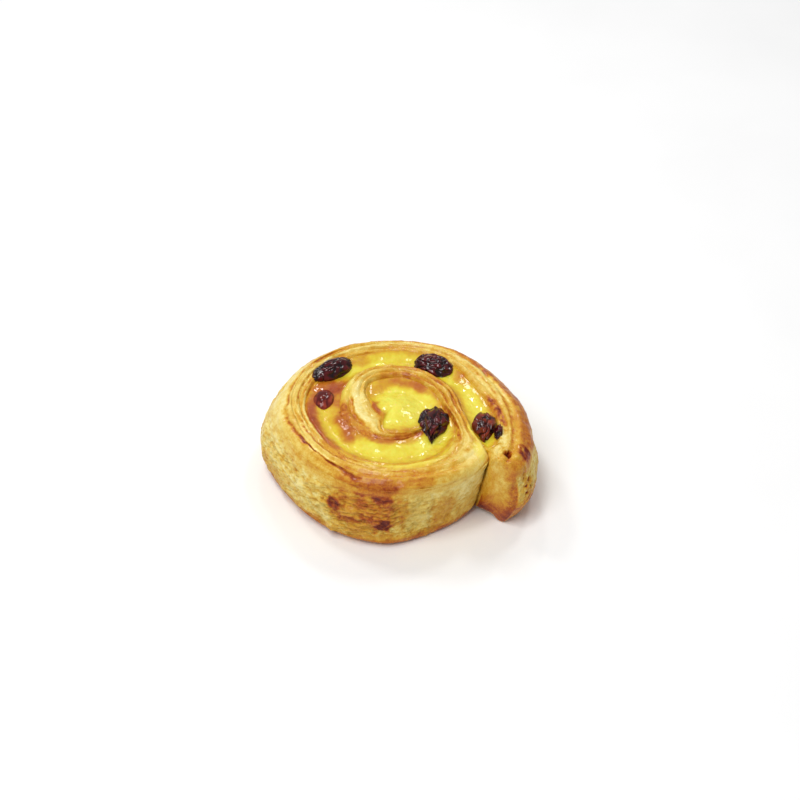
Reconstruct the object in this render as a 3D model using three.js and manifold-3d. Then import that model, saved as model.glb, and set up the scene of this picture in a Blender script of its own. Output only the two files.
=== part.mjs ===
// A raisin custard swirl: a strip of laminated dough rolled up with custard and raisins, cut and baked.
// Millimetres, +Z up, standing on its flat baked base, with the origin in the middle of the base.
// Hours run clockwise seen from above, with 12 at the back, 3 at the right and 6 at the front, and count on
// past 12 from one turn of the roll to the next, so one hour and a radius place any point of the roll.
import * as THREE from "three";
import { mergeVertices } from "three/addons/utils/BufferGeometryUtils.js";
import Module from "manifold-3d";

const wasm = await Module();
wasm.setup();

// Driving sizes
const ROLL_CENTRE = new THREE.Vector2(-0.9, 0.1);
const TURN = 12; // hours in one turn
const INNER_END = 4.4; // hour at which the strip starts, beside the middle
const TAIL_END = 28.29; // hour at which its outer end lies
const TAIL_SLANT = 0.04; // how many hours the end's inner corner lies past its middle
const SLANT_RUN = 0.8; // hours before the end over which the slant comes
const CHANNEL_END = 16.2; // hour at which the tail closes the custard's channel against the turn inside it
const CHANNEL_RUNOUT = [1.7, 0.5]; // hours before that over which the channel's floor narrows to nothing
const GAP = 0.3; // clearance between touching pieces
const TAIL_CLOSE = [28.0, 28.24]; // hours over which the tail's inner face comes down on the turn inside it
const CUSTARD_BASE = 0.4;
const CUSTARD_BITE = 1.5; // how far the uncut custard reaches into the outer turn
const CUSTARD_LEVEL = 28.2;
const CUSTARD_DOME = 2.6; // how far the custard swells up in the middle
const DOME_RADIUS = 15;
const TAIL_TAPER = 0.18; // share by which the tail narrows at its end
const TAPER_RUN = 0.2; // hours before the end over which it does
const TIP_SIDE = 0.33; // where the tail's drooping tip lies across the strip, from -1 inside to 1 outside
const TIP_HALF = 0.06; // half of the tip's width, on the same measure
const TAIL_LIFT = { inside: 2.6, outside: 19 }; // how far the tail's underside rises to each side of the tip
const LIFT_RUN = { inside: [0.1, 0.7], outside: [0.05, 1.3] }; // hours before the end over which that begins
const LIFT_REACH = 0.5; // how far inside the tip, across the strip, the lift is whole
const LIFT_CURVE = 1.5; // power of the lift's rise outside the tip

// The strip: hour, radius of its middle, thickness, height of its cut edge, lean of its outer face below that
const STRIP = [
  [4.4, 15.5, 2.6, 29.0, 0],
  [6.0, 16.6, 5.6, 30.2, 0],
  [6.5, 16.8, 6.2, 30.4, 0],
  [7.35, 13.6, 14.0, 30.8, 0],
  [9.3, 14.8, 13.4, 31.0, 0],
  [11.0, 20.6, 7.6, 31.6, 0],
  [13.0, 20.0, 7.6, 31.6, 0],
  [15.0, 21.8, 7.8, 31.2, 0],
  [15.85, 28.4, 7.6, 30.8, 0],
  [16.3, 36.2, 17.4, 29.6, -6.4],
  [17.1, 38.0, 13.6, 30.2, -4.2],
  [17.6, 37.7, 12.6, 30.1, -1.6],
  [18.2, 36.8, 11.0, 30.0, 4.6],
  [20.0, 35.4, 8.6, 30.0, 7.0],
  [21.2, 37.4, 8.4, 30.2, 10.8],
  [22.5, 38.4, 8.8, 30.2, 7.5],
  [24.0, 37.4, 7.8, 30.4, 5],
  [26.0, 37.6, 10.4, 30.6, 5],
  [27.1, 42.4, 12.4, 30.4, 4.9],
  [28.3, 49.5, 12.4, 30.4, 4.6],
];
const SIZES = ["hour", "radius", "thickness", "top", "lean"];

// Layers that the cut shows across the strip's edge
const LAYERS = 3;
const LAYER_DEPTH = 1.1;
const RIDGE_SHARE = 0.7; // how much of that depth lies below the cut edge's height
const EDGE_ROUND = 2.2; // height over which the cut edge rounds into the faces
const FOOT_ROUND = 3.2; // the same at the base
const FOOT_INSET = 0.7; // how far in the base starts, as a share of that
const LEAST_FOOT = 0.4; // where the base starts at the least, from -1 inside to 1 outside
const BASE_SIDES = [TIP_SIDE, -0.25, -0.9]; // where the base's other points lie
const BELLY = 0.36; // share of the height at which an outer face with a lean above 0 stands out most
const FOOT_TUCK = 0.4; // share of the lean that the outer face loses again at the base

// Raisins: name, hour, radius, middle's height, length, width, height, turn from the strip's run, tip along
// its length, and taper to the end that the turn points to
const RAISINS = [
  ["raisin_back_left", 22.44, 33.1, 28.9, 18.2, 8.8, 7.4, 6, 4, 0],
  ["raisin_back_right", 13.03, 29.3, 28.6, 15.2, 10.8, 8.0, -8, 0, 0],
  ["raisin_middle", 16.09, 17.2, 28.3, 20.0, 11.6, 8.2, -28, -6, 0.75],
  ["raisin_right", 15.61, 35.3, 28.4, 15.0, 9.4, 7.8, -16, 0, 0.6],
  ["raisin_tail", 27.68, 41.4, 28.9, 7.4, 3.0, 5.6, -12, 0, 0],
  ["raisin_left", 21.35, 27.4, 28.0, 10.8, 8.0, 7.0, -5, 0, 0],
];
const WRINKLE = 0.085; // depth of a raisin's creases, as a share of its radius
const TAPER_START = -0.2; // where a raisin's taper starts along it, from -1 to 1

// Mesh counts
const FACE_POINTS = 5;
const EDGE_POINTS = 13;
const STATION_LENGTH = 4.2;
const STATION_PROBE = 0.05; // hours over which the rim's length is measured for that
const CUTTER_LEVELS = [-1, 12, 22, 30, 2 * CUSTARD_LEVEL]; // heights of the cutter's corners
const CUTTER_START = 0.1; // hours by which the cutter starts before the strip
const TAIL_STATIONS = [0.24, 0.14, 0.07, 0.03, 0]; // hours left to the end at the last stations
const CUSTARD_SECTORS = 48;
const CUSTARD_RINGS = 7;
const SLIVER = 0.01; // how far a face may move where slivers are joined into it

const MATERIALS = {
  dough: new THREE.MeshStandardMaterial({ color: 0xd9a457, roughness: 0.55, metalness: 0 }),
  custard: new THREE.MeshStandardMaterial({ color: 0xf0d24a, roughness: 0.3, metalness: 0 }),
  raisin: new THREE.MeshStandardMaterial({ color: 0x3a1512, roughness: 0.3, metalness: 0 }),
};

const clamp = THREE.MathUtils.clamp;
const lerp = THREE.MathUtils.lerp;
const smooth = THREE.MathUtils.smoothstep;

// The slope at a row that keeps the curve through the rows from overshooting: the harmonic mean of the runs
// beside it.
function slopeAt(row, k) {
  if (row === 0 || row === STRIP.length - 1) return 0;
  const [before, at, after] = STRIP.slice(row - 1, row + 2);
  const [rise, next] = [(at[k] - before[k]) / (at[0] - before[0]), (after[k] - at[k]) / (after[0] - at[0])];
  return rise * next > 0 ? (2 * rise * next) / (rise + next) : 0;
}

// The strip's sizes at an hour, eased through the rows of the table.
function stripAt(hour) {
  const found = STRIP.findIndex((row) => row[0] > hour);
  const row = found < 0 ? STRIP.length - 2 : Math.max(found - 1, 0);
  const [a, b] = [STRIP[row], STRIP[row + 1]];
  const span = b[0] - a[0];
  const u = clamp((hour - a[0]) / span, 0, 1);
  const size = {};
  SIZES.forEach((name, k) => {
    const rise = b[k] - a[k];
    const [leave, arrive] = [slopeAt(row, k) * span, slopeAt(row + 1, k) * span];
    size[name] = a[k] + u * (leave + u * (3 * rise - 2 * leave - arrive + u * (leave + arrive - 2 * rise)));
  });
  return size;
}

// The point at an hour, a radius and a height.
function place(hour, radius, z) {
  const angle = Math.PI / 2 - (hour * 2 * Math.PI) / TURN;
  return new THREE.Vector3(
    ROLL_CENTRE.x + radius * Math.cos(angle),
    ROLL_CENTRE.y + radius * Math.sin(angle),
    z,
  );
}

// Height of the cut edge's relief at q, from -1 on the inner face to 1 on the outer one.
function layerRelief(q, hour) {
  const drift = 0.35 * Math.sin(hour * 1.9) + 0.2 * Math.sin(hour * 4.3 + 1);
  const wave = Math.abs(Math.sin((Math.PI * LAYERS * (q + 1)) / 2 + drift));
  const rounding = EDGE_ROUND * Math.abs(q) ** 5;
  return LAYER_DEPTH * (wave - RIDGE_SHARE) - rounding;
}

// How far the outer face stands out at a share of the height: nothing at the rim, all of it at the belly.
function bellyAt(share) {
  if (share > BELLY) return 1 - Math.min((share - BELLY) / (1 - BELLY), 1) ** 2;
  return 1 - FOOT_TUCK * Math.min((BELLY - share) / BELLY, 1) ** 2;
}

// Radius of the strip's outer face at an hour and a height. A face with a lean below 0 slants in evenly to
// its foot.
function outerFace(hour, z) {
  const { radius, thickness, top, lean } = stripAt(hour);
  const share = z / top;
  return radius + thickness / 2 + lean * (lean > 0 ? bellyAt(share) : Math.max(1 - share, 0));
}

// Radius of its inner face, which near the tail lies on the outer face of the turn inside it.
function innerFace(hour, z) {
  const { radius, thickness } = stripAt(hour);
  const own = radius - thickness / 2;
  return lerp(own, outerFace(hour - TURN, z) + GAP, smooth(hour, ...TAIL_CLOSE));
}

// The strip's closed section as points of side, from -1 on the inner face to 1 on the outer one, and height.
function sectionAt(hour) {
  const { thickness, top } = stripAt(hour);
  const shoulder = top - EDGE_ROUND - LAYER_DEPTH;
  const foot = 1 - (FOOT_INSET * FOOT_ROUND) / (thickness / 2);
  const loop = [];
  const low = FOOT_ROUND / 3;
  for (let i = 0; i < FACE_POINTS; i++) loop.push([-1, lerp(low, shoulder, i / (FACE_POINTS - 1))]);
  for (let i = 0; i < EDGE_POINTS; i++) {
    const side = lerp(-1, 1, (i + 0.5) / EDGE_POINTS);
    loop.push([side, top + layerRelief(side, hour)]);
  }
  for (let i = 0; i < FACE_POINTS; i++) loop.push([1, lerp(shoulder, FOOT_ROUND, i / (FACE_POINTS - 1))]);
  return loop.concat([Math.max(foot, LEAST_FOOT), ...BASE_SIDES].map((side) => [side, 0]));
}

// The point of the strip's outer face at the rim.
function rimAt(hour) {
  const { radius, thickness, top } = stripAt(hour);
  return place(hour, radius + thickness / 2, top);
}

// Hours at which the sweep has a station, an even run of the rim apart, and closer at its blunt tail.
function stationHours() {
  const hours = [INNER_END];
  while (hours.at(-1) < TAIL_END - TAIL_STATIONS[0]) {
    const at = hours.at(-1);
    hours.push(at + (STATION_PROBE * STATION_LENGTH) / rimAt(at).distanceTo(rimAt(at + STATION_PROBE)));
  }
  hours.pop();
  return hours.concat(TAIL_STATIONS.map((left) => TAIL_END - left));
}

// A cylinder's side and caps, laid out over rings and points around, with every vertex moved to
// where(ring, point). The point is null in the middle of a cap.
function bendCylinder(around, rings, where) {
  const geometry = new THREE.CylinderGeometry(1, 1, rings, around, rings);
  const position = geometry.getAttribute("position");
  const vertex = new THREE.Vector3();
  for (let i = 0; i < position.count; i++) {
    vertex.fromBufferAttribute(position, i);
    const ring = Math.round(vertex.y + rings / 2);
    const turn = Math.atan2(vertex.x, vertex.z) / (2 * Math.PI);
    const point = Math.hypot(vertex.x, vertex.z) < 0.5 ? null : Math.round((turn + 1) * around) % around;
    position.setXYZ(i, ...where(ring, point));
  }
  return geometry;
}

// A closed solid of a geometry, with its shared corners merged and its faces turned outwards.
function solidOf(geometry) {
  const bare = geometry.clone();
  bare.deleteAttribute("normal");
  bare.deleteAttribute("uv");
  const merged = mergeVertices(bare, 1e-4);
  const vertProperties = merged.getAttribute("position").array;
  const triVerts = new Uint32Array(merged.getIndex().array);
  const made = new wasm.Manifold(new wasm.Mesh({ numProp: 3, vertProperties, triVerts }));
  if (made.volume() > 0) return made;
  return new wasm.Manifold(new wasm.Mesh({ numProp: 3, vertProperties, triVerts: triVerts.toReversed() }));
}

// A named mesh of a solid's largest body, without the slivers that cutting leaves.
function meshOf(name, solid, material) {
  const largest = solid.decompose().sort((a, b) => b.volume() - a.volume())[0];
  const body = largest.simplify(SLIVER);
  const { vertProperties, triVerts } = body.getMesh();
  const geometry = new THREE.BufferGeometry();
  geometry.setAttribute("position", new THREE.BufferAttribute(vertProperties, 3));
  geometry.setIndex(new THREE.BufferAttribute(triVerts, 1));
  geometry.computeVertexNormals();
  const mesh = new THREE.Mesh(geometry, material);
  mesh.name = name;
  return mesh;
}

// The hour of a point across the strip, which its slanted end moves away from the station's own.
function slantedHour(station, side) {
  return station - TAIL_SLANT * (1 - smooth(TAIL_END - station, 0, SLANT_RUN)) * side;
}

// How far the tail's underside rises, by the hours left to the end and the side.
function liftAt(left, side) {
  const flank = side < TIP_SIDE ? "inside" : "outside";
  const begun = 1 - smooth(left, ...LIFT_RUN[flank]);
  const away = Math.max(Math.abs(side - TIP_SIDE) - TIP_HALF, 0);
  return TAIL_LIFT[flank] * begun * (flank === "inside" ? smooth(away, 0, LIFT_REACH) : away ** LIFT_CURVE);
}

// The rolled strip of dough. At its tail the section closes to a slanted blunt end, whose underside rises
// beside the tip.
function doughSolid() {
  const hours = stationHours();
  const sections = hours.map(sectionAt);
  const geometry = bendCylinder(sections[0].length, hours.length - 1, (ring, point) => {
    const { top } = stripAt(hours[ring]);
    const [side, z] = point === null ? [0, top / 2] : sections[ring][point];
    const left = TAIL_END - hours[ring];
    const hour = slantedHour(hours[ring], side);
    const blunt = 1 - TAIL_TAPER * (1 - clamp(left / TAPER_RUN, 0, 1)) ** 2;
    const radius = lerp(innerFace(hour, z), outerFace(hour, z), (side * blunt + 1) / 2);
    return place(hour, radius, z + liftAt(left, side) * (1 - z / top) ** 2);
  });
  return solidOf(geometry);
}

// The strip with a gap round it and a plain tall section, which cuts the strip's room out of the custard.
function doughCutter() {
  const hours = stationHours();
  hours[0] -= CUTTER_START;
  const corners = [
    ...CUTTER_LEVELS.map((z) => [-1, z]),
    ...CUTTER_LEVELS.toReversed().map((z) => [1, z]),
  ];
  const geometry = bendCylinder(corners.length, hours.length - 1, (ring, point) => {
    const [side, z] = point === null ? [0, CUSTARD_LEVEL] : corners[point];
    const hour = slantedHour(hours[ring], side);
    const radius = lerp(innerFace(hour, z) - GAP, outerFace(hour, z) + GAP, (side + 1) / 2);
    return place(hour, radius, z);
  });
  return solidOf(geometry);
}

function custardHeight(radius) {
  const share = clamp(radius / DOME_RADIUS, 0, 1);
  return CUSTARD_LEVEL + CUSTARD_DOME * (1 - share * share) ** 2;
}

// The custard, before the dough and the raisins are cut out of it: a low dome that ends in the outer turn.
function custardBlank() {
  const profile = [];
  for (let i = 0; i <= CUSTARD_RINGS; i++) profile.push(new THREE.Vector2(i / CUSTARD_RINGS, 1));
  profile.push(new THREE.Vector2(1, 0), new THREE.Vector2(0, 0));
  const geometry = new THREE.LatheGeometry(profile, CUSTARD_SECTORS);
  const position = geometry.getAttribute("position");
  for (let i = 0; i < position.count; i++) {
    const share = Math.hypot(position.getX(i), position.getZ(i));
    const turn = Math.atan2(position.getX(i), position.getZ(i)) / (2 * Math.PI);
    const sector = share < 1e-6 ? 0 : Math.round((turn + 1) * CUSTARD_SECTORS) % CUSTARD_SECTORS;
    const onTop = position.getY(i) > 0.5;
    const hour = CHANNEL_END + (TURN * sector) / CUSTARD_SECTORS;
    const left = sector === 0 ? 0 : CHANNEL_END + TURN - hour;
    const closed = onTop && left > 0 ? 0 : smooth(-left, -CHANNEL_RUNOUT[0], -CHANNEL_RUNOUT[1]);
    const open = innerFace(hour, CUSTARD_LEVEL) + CUSTARD_BITE;
    const edge = lerp(open, stripAt(CHANNEL_END - left).radius, closed);
    const radius = share * edge;
    position.setXYZ(i, ...place(hour, radius, onTop ? custardHeight(radius) : CUSTARD_BASE));
  }
  return solidOf(geometry);
}

// A raisin's radius in one direction, as a share of the plain ellipsoid's: long folds with short creases
// across them.
function wrinkleAt({ x, y, z }, seed) {
  const fold = Math.sin(6.5 * Math.atan2(z, y) + 2.1 * Math.sin(3 * x + seed) + seed);
  const crease = Math.sin(9 * x + 4 * y + 1.7 * seed) * Math.sin(7 * z - 3 * x);
  return 1 + WRINKLE * (0.75 * fold + 0.6 * crease) * (1 - 0.6 * x ** 4);
}

// A raisin, or with room round it the shape that cuts its place out of the dough and the custard.
function raisinSolid([, hour, radius, z, length, width, height, yaw, tip, taper], seed, room) {
  const geometry = new THREE.IcosahedronGeometry(1, 3);
  const position = geometry.getAttribute("position");
  const vertex = new THREE.Vector3();
  const run = (-hour * 2 * Math.PI) / TURN;
  const turned = new THREE.Matrix4()
    .makeRotationZ(run - THREE.MathUtils.degToRad(yaw))
    .multiply(new THREE.Matrix4().makeRotationY(THREE.MathUtils.degToRad(tip)));
  for (let i = 0; i < position.count; i++) {
    vertex.fromBufferAttribute(position, i).normalize();
    const share = wrinkleAt(vertex, seed);
    const narrow = 1 - taper * smooth(vertex.x, TAPER_START, 1);
    vertex.multiply(new THREE.Vector3(length / 2, (narrow * width) / 2, height / 2)).multiplyScalar(share);
    vertex.multiplyScalar(1 + room / Math.min(height / 2, vertex.length()));
    vertex.applyMatrix4(turned).add(place(hour, radius, z));
    position.setXYZ(i, vertex.x, vertex.y, vertex.z);
  }
  return solidOf(geometry);
}

let dough = doughSolid();
let custard = custardBlank().subtract(doughCutter());
const raisins = RAISINS.map((row, i) => ({ name: row[0], solid: raisinSolid(row, i + 1, 0) }));
RAISINS.forEach((row, i) => {
  const bed = raisinSolid(row, i + 1, GAP);
  custard = custard.subtract(bed);
  dough = dough.subtract(bed);
});

const pastry = new THREE.Group();
pastry.add(meshOf("dough", dough, MATERIALS.dough));
pastry.add(meshOf("custard", custard, MATERIALS.custard));
for (const { name, solid } of raisins) pastry.add(meshOf(name, solid, MATERIALS.raisin));

export default pastry;
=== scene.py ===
# The looks of the raisin custard swirl: a browned, flaky strip of dough rolled up with custard, and glazed
# raisins in it. Sizes are in millimetres, and MM turns them into Blender's metres. Hours run clockwise seen
# from above, with 12 at the back, 3 at the right and 6 at the front, and count on past 12 from one turn of
# the roll to the next.

import math

import bmesh
import bpy
import numpy as np
from mathutils import Matrix, Vector, noise


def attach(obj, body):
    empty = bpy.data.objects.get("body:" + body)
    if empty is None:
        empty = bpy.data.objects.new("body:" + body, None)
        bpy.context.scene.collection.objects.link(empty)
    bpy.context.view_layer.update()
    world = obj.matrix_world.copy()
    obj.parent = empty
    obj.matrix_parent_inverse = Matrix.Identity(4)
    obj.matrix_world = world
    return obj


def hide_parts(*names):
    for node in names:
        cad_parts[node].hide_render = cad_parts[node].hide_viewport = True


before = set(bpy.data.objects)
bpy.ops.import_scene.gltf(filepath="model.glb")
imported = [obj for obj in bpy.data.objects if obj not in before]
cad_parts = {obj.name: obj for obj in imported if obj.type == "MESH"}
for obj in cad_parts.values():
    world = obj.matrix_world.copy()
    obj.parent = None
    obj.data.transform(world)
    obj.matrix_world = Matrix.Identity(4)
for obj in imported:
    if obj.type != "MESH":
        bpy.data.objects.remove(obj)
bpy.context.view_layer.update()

MM = 0.001
TURN = 12

# The strip, as the frame's solid has it: hour, radius, thickness, height of the rim, lean of the outer face
# below it
ROLL_CENTRE = (-0.9, 0.1)
STRIP = np.array([
    (4.4, 15.5, 2.6, 29.0, 0),
    (6.0, 16.6, 5.6, 30.2, 0),
    (6.5, 16.8, 6.2, 30.4, 0),
    (7.35, 13.6, 14.0, 30.8, 0),
    (9.3, 14.8, 13.4, 31.0, 0),
    (11.0, 20.6, 7.6, 31.6, 0),
    (13.0, 20.0, 7.6, 31.6, 0),
    (15.0, 21.8, 7.8, 31.2, 0),
    (15.85, 28.4, 7.6, 30.8, 0),
    (16.3, 36.2, 17.4, 29.6, -6.4),
    (17.1, 38.0, 13.6, 30.2, -4.2),
    (17.6, 37.7, 12.6, 30.1, -1.6),
    (18.2, 36.8, 11.0, 30.0, 4.6),
    (20.0, 35.4, 8.6, 30.0, 7.0),
    (21.2, 37.4, 8.4, 30.2, 10.8),
    (22.5, 38.4, 8.8, 30.2, 7.5),
    (24.0, 37.4, 7.8, 30.4, 5),
    (26.0, 37.6, 10.4, 30.6, 5),
    (27.1, 42.4, 12.4, 30.4, 4.9),
    (28.3, 49.5, 12.4, 30.4, 4.6),
])
INNER_END = 4.4
# The tail is the strip's outer end, and this radius turns its hours into millimetres
TAIL_END = 28.29
TAIL_RADIUS = 55
# How far its end face slants, in hours, and how much narrower it is at the end
TAIL_SLANT = 0.04
TAIL_TAPER = 0.18
# The hours over which its inner face comes down on the turn inside it, and how far it stands off that turn
TAIL_CLOSE = (28.0, 28.24)
TAIL_SEAM = -0.6
# The drooping tip's place across and half its width, and how its underside rises to both sides of it
TIP_SIDE = 0.33
TIP_HALF = 0.06
TAIL_LIFT = {"inside": 2.6, "outside": 19}
LIFT_RUN = {"inside": (0.1, 0.7), "outside": (0.05, 1.3)}
LIFT_REACH = 0.5
LIFT_CURVE = 1.5
# The section: the belly's height as a share of the rim's, the foot's corner and its share of the run along
# the base, and how high and how square the rim's curve is
BELLY = 0.36
FOOT_ROUND = 3.2
CORNER_SHARE = 0.3
RIM_ROUND = 3.6
RIM_SQUARE = 2.7

# The flaky layers on the rim
LAYERS = 3
LAYER_DEPTH = 1.0
LEAF_DEPTH = 0.30

# The strip's mesh: its counts, how much closer it is near the tail, and how far the end face bulges
ALONG = 582
AROUND = 170
TAIL_FINE = 1.4
START_RINGS = 6
END_RINGS = 26
END_BULGE = 1.1

# The custard
CUSTARD_LEVEL = 28.2
CUSTARD_DOME = 2.6
DOME_RADIUS = 15
CUSTARD_BASE = 0.4
# Its waves: height, size, seed, octaves. It lies lower by the drop, so that they reach up to its level
CUSTARD_WAVES = [(0.32, 10, 11, 2), (0.13, 3.4, 12, 3)]
WAVES_DROP = 0.3
# The channel's outer end, the hours before it over which it narrows, and how far the uncut custard reaches
# into the outer turn
CHANNEL_END = 16.2
CHANNEL_RUNOUT = (1.7, 0.5)
CHANNEL_REACH = 1.5
# How far the custard runs on into the dough, in millimetres and at most as a share of the strip's thickness
CUSTARD_BITE = 2.3
BITE_SHARE = 0.3
# How deep in the dough the custard's top starts and ends to dive, and how far it dives
DIVE = (1.2, 2.2)
DIVE_DEPTH = 3.0
LIP_HEIGHT = 1.1
LIP_WIDTH = 2.0
# Where the custard stands higher, nearly flush with the strip: hour, radius, half the hours, half the
# width, rise
CUSTARD_FLUSH = [
    (7.1, 22.0, 2.3, 4.5, 1.5),
    (5.8, 12.5, 1.3, 4.0, 1.0),
    (12.6, 15.0, 2.6, 4.0, 1.7),
    (9.6, 27.0, 1.0, 5.5, 0.8),
    (12.1, 32.5, 1.9, 3.5, 1.2),
    (8.6, 31.0, 1.3, 3.5, 1.0),
]
# A glossy, rippled bump in the custard: hour, radius, half the hours, half the width, rise, depth of its
# ripples
CUSTARD_BUMP = (7.95, 22.0, 0.75, 4.0, 0.9, 0.5)
# The custard's mesh: its counts, and the share of its rings that lie evenly out to a radius
CUSTARD_RINGS = 100
SIDE_RINGS = 4
BASE_RINGS = 8
CUSTARD_SECTORS = 380
EVEN_RADIUS = 26
EVEN_SHARE = 0.62
# The tool that cuts the strip's room out of the custard: its count of rings, heights and caps' height
CUTTER_RINGS = 260
CUTTER_HEIGHTS = np.array([-2, 12, 22, 30, 45.0])
CUTTER_MIDDLE = 20

# Raisins: hour, radius, middle's height, length, width, height, turn from the strip's run, tip along the
# length, taper
RAISINS = {
    "raisin_back_left": (22.44, 33.1, 28.9, 18.2, 8.8, 7.4, 6, 4, 0),
    "raisin_back_right": (13.03, 29.3, 28.6, 15.2, 10.8, 8.0, -8, 0, 0),
    "raisin_middle": (16.09, 17.2, 28.3, 20.0, 11.6, 8.2, -28, -6, 0.75),
    "raisin_right": (15.61, 35.3, 28.4, 15.0, 9.4, 7.8, -16, 0, 0.6),
    "raisin_tail": (27.68, 41.4, 28.9, 7.4, 3.0, 5.6, -12, 0, 0),
    "raisin_left": (21.35, 27.4, 28.0, 10.8, 8.0, 7.0, -5, 0, 0),
}
# How plump a raisin is, from 0 shrivelled to 1 smooth
PLUMP_RAISINS = {"raisin_left": 0.88, "raisin_right": 0.2, "raisin_back_left": 0.6, "raisin_back_right": 0.3}

# How far the rim is baked between its streaks, 0 pale to 1 dark: hour, inner edge, middle and outer edge
RIM_BAKE = np.array([
    (4.4, 0.50, 0.48, 0.62),
    (6.0, 0.45, 0.34, 0.60),
    (7.5, 0.45, 0.14, 0.58),
    (8.8, 0.30, 0.10, 0.54),
    (10.0, 0.20, 0.04, 0.22),
    (10.8, 0.30, 0.20, 0.36),
    (12.0, 0.62, 0.48, 0.50),
    (13.5, 0.42, 0.36, 0.50),
    (15.5, 0.36, 0.34, 0.50),
    (16.4, 0.26, 0.12, 0.12),
    (17.1, 0.32, 0.36, 0.26),
    (18.3, 0.40, 0.42, 0.58),
    (20.0, 0.62, 0.20, 0.26),
    (21.5, 0.56, 0.20, 0.16),
    (23.0, 0.46, 0.26, 0.44),
    (25.0, 0.40, 0.20, 0.40),
    (26.5, 0.36, 0.16, 0.44),
    (27.2, 0.44, 0.30, 0.52),
    (28.29, 0.30, 0.40, 0.54),
])
# Lines and bands along the rim: from hour, to hour, across at each (0 inner edge, 1 outer edge), half the
# width, bake, depth
# The dark lines that are sunk in as grooves are partly browner crust and partly painted shade
RIM_STREAKS = [
    (19.4, 21.0, 0.76, 0.94, 0.028, 0.72, 0.60),
    (19.5, 20.3, 0.77, 0.86, 0.046, 0.94, 0.55),
    (19.0, 20.2, 0.71, 0.68, 0.040, 0.08, -0.35),
    (18.5, 19.7, 0.95, 0.76, 0.036, 0.84, 0.90),
    (17.9, 18.8, 0.93, 0.98, 0.085, 0.68, 0.10),
    (17.2, 18.2, 0.84, 0.90, 0.050, 0.56, 0.20),
    (18.8, 21.0, 0.46, 0.52, 0.034, 0.76, 0.60),
    (20.8, 22.6, 0.52, 0.36, 0.030, 0.66, 0.50),
    (20.6, 23.2, 0.92, 0.76, 0.036, 0.66, 0.45),
    (20.4, 22.6, 1.02, 0.92, 0.060, 0.06, -0.20),
    (18.7, 22.0, -0.08, -0.05, 0.170, 0.92, 0.00),
    (19.4, 21.9, 0.16, 0.14, 0.060, 0.10, -0.30),
    (21.2, 23.6, 0.20, 0.26, 0.030, 0.62, 0.25),
    (17.2, 19.6, 0.58, 0.18, 0.036, 0.56, 0.45),
    (17.5, 19.2, 0.36, 0.32, 0.040, 0.16, -0.20),
    (23.2, 25.3, 0.86, 0.88, 0.090, 0.66, 0.15),
    (23.4, 25.2, 0.62, 0.66, 0.060, 0.04, -0.30),
    (24.9, 27.2, 0.64, 0.66, 0.060, 0.06, -0.35),
    (25.2, 26.8, 0.30, 0.34, 0.050, 0.10, -0.25),
    (22.2, 24.0, 0.50, 0.54, 0.060, 0.06, -0.25),
    (24.9, 27.1, 0.84, 0.86, 0.110, 0.72, 0.20),
    (26.6, 28.0, 0.94, 0.96, 0.120, 0.66, 0.05),
    (27.82, 28.07, 0.92, 0.95, 0.110, 1.00, 0.10),
    (23.6, 25.6, 0.45, 0.42, 0.030, 0.50, 0.40),
    (25.4, 26.9, 0.50, 0.40, 0.032, 0.50, 0.45),
    (26.6, 27.6, 0.14, 0.26, 0.090, 0.92, 0.25),
    (27.4, 28.3, 0.24, 0.34, 0.150, 0.06, -0.40),
    (26.5, 28.1, 0.58, 0.52, 0.040, 0.62, 0.50),
    (7.2, 9.9, -0.04, 0.02, 0.050, 0.86, 0.00),
    (7.0, 9.8, 0.50, 0.46, 0.070, 0.00, -0.45),
    (7.0, 9.8, 0.68, 0.64, 0.040, 0.60, 0.60),
    (6.2, 9.4, 0.88, 0.86, 0.110, 0.54, -0.30),
    (7.6, 8.9, 0.98, 0.98, 0.070, 0.72, 0.00),
    (7.8, 9.2, 0.86, 0.92, 0.120, 0.68, 0.00),
    (4.6, 7.0, 0.80, 0.90, 0.220, 0.66, 0.00),
    (10.3, 12.6, 0.94, 0.92, 0.070, 0.70, 0.10),
    (11.6, 12.8, 0.55, 0.60, 0.030, 0.56, 0.30),
    (12.8, 15.2, 0.90, 0.86, 0.070, 0.70, 0.15),
    (13.0, 15.6, 0.56, 0.64, 0.036, 0.60, 0.45),
    (12.2, 15.2, 0.22, 0.30, 0.036, 0.58, 0.40),
    (15.2, 16.7, 0.66, 0.44, 0.040, 0.54, 0.40),
    (14.8, 16.5, 0.12, 0.16, 0.060, 0.74, 0.30),
    (16.3, 17.4, 0.24, 0.30, 0.024, 0.46, 0.30),
]
# Bake of the plain wall and the base, darkness at the wall's foot, and painted shade in pit bottoms
WALL_BAKE = 0.17
FOOT_TONE = 0.62
BASE_BAKE = 0.58
PIT_SHADE = 0.94
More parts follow.
